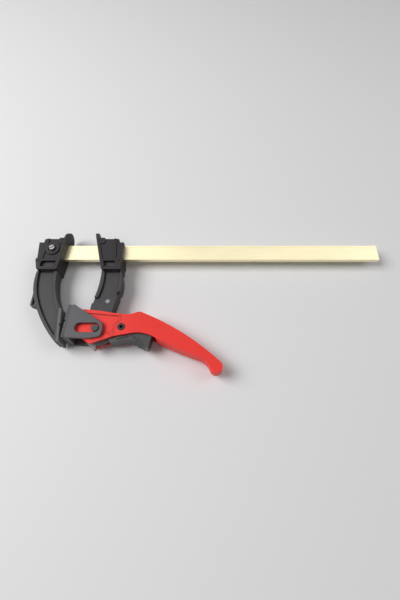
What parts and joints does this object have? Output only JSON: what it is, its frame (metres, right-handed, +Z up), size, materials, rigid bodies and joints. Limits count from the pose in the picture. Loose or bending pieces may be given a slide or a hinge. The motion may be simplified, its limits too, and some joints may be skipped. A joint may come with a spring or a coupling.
{
  "type": "quick release bar clamp",
  "caption": "Bar clamp with a fixed jaw, a sliding arm, a ratchet lever that pushes a pressure jaw, and a release trigger, lying on its side.",
  "frame": {"origin": "centre of the clamp's bounding box, on the surface it lies on", "axes": "+X along the bar from the fixed head to its free end, +Y from the jaws up to the bar, +Z up through the clamp's thickness"},
  "size_m": [0.4114, 0.1766, 0.03],
  "materials": {
    "bar": "brushed satin",
    "head_plastic": "fine texture",
    "arm_plastic": "fine texture",
    "jaw_plastic": "fine texture",
    "pad_rubber": "soft, matt",
    "lever_red": "satin",
    "trigger_plastic": "fine texture",
    "steel": "plated",
    "dark_steel": "phosphated"
  },
  "bodies": {
    "bar_and_fixed_jaw": {"bar": "bar", "fixed_arm": "arm_plastic", "fixed_head_cover": "head_plastic", "fixed_grip_plate": "head_plastic", "fixed_cover_pin": "dark_steel", "fixed_head_screw": "steel", "fixed_head_washer": "steel", "fixed_head_nut": "steel", "fixed_jaw_pad": "pad_rubber"},
    "sliding_arm": {"movable_arm": "arm_plastic", "movable_head_cover": "head_plastic", "movable_grip_plate": "head_plastic", "movable_cover_pin": "dark_steel", "brake_pin": "steel", "ratchet_sector": "dark_steel", "sector_rivet": "dark_steel"},
    "clamping_lever": {"lever": "lever_red", "trigger_pin": "dark_steel", "trigger_spring": "steel"},
    "release_trigger": {"trigger": "trigger_plastic", "pawl": "dark_steel"},
    "swivel_pin": {"lever_pin": "dark_steel", "lever_pin_clip": "dark_steel"},
    "jaw": {"pressure_jaw": "jaw_plastic", "jaw_pad": "pad_rubber"}
  },
  "joints": [
    {"name": "arm_slide", "type": "slide", "parent": "bar_and_fixed_jaw", "child": "sliding_arm", "axis": [1, 0, 0], "range_m": [-0.0023, 0.3]},
    {"name": "lever_pivot", "type": "hinge", "parent": "sliding_arm", "child": "clamping_lever", "pos_m": [-0.12365, -0.0416, 0.015], "axis": [0, 0, 1], "range_deg": [-45, 0]},
    {"name": "trigger_pivot", "type": "hinge", "parent": "clamping_lever", "child": "release_trigger", "pos_m": [-0.09615, -0.0395, 0.015], "axis": [0, 0, 1], "range_deg": [0, 8], "stiffness_Nm_per_rad": 0.3, "springref_deg": -5.73, "deforming": ["trigger_spring"]},
    {"name": "jaw_swivel", "type": "hinge", "parent": "sliding_arm", "child": "swivel_pin", "pos_m": [-0.12365, -0.0416, 0.015], "axis": [0, 0, 1], "range_deg": [0, 8]},
    {"name": "jaw_slide", "type": "slide", "parent": "swivel_pin", "child": "jaw", "axis": [1, 0, 0], "range_m": [0, 0.00905]}
  ],
  "couplings": [
    {"joint": "jaw_slide", "follows": "lever_pivot", "m_per_rad": -0.0115}
  ]
}
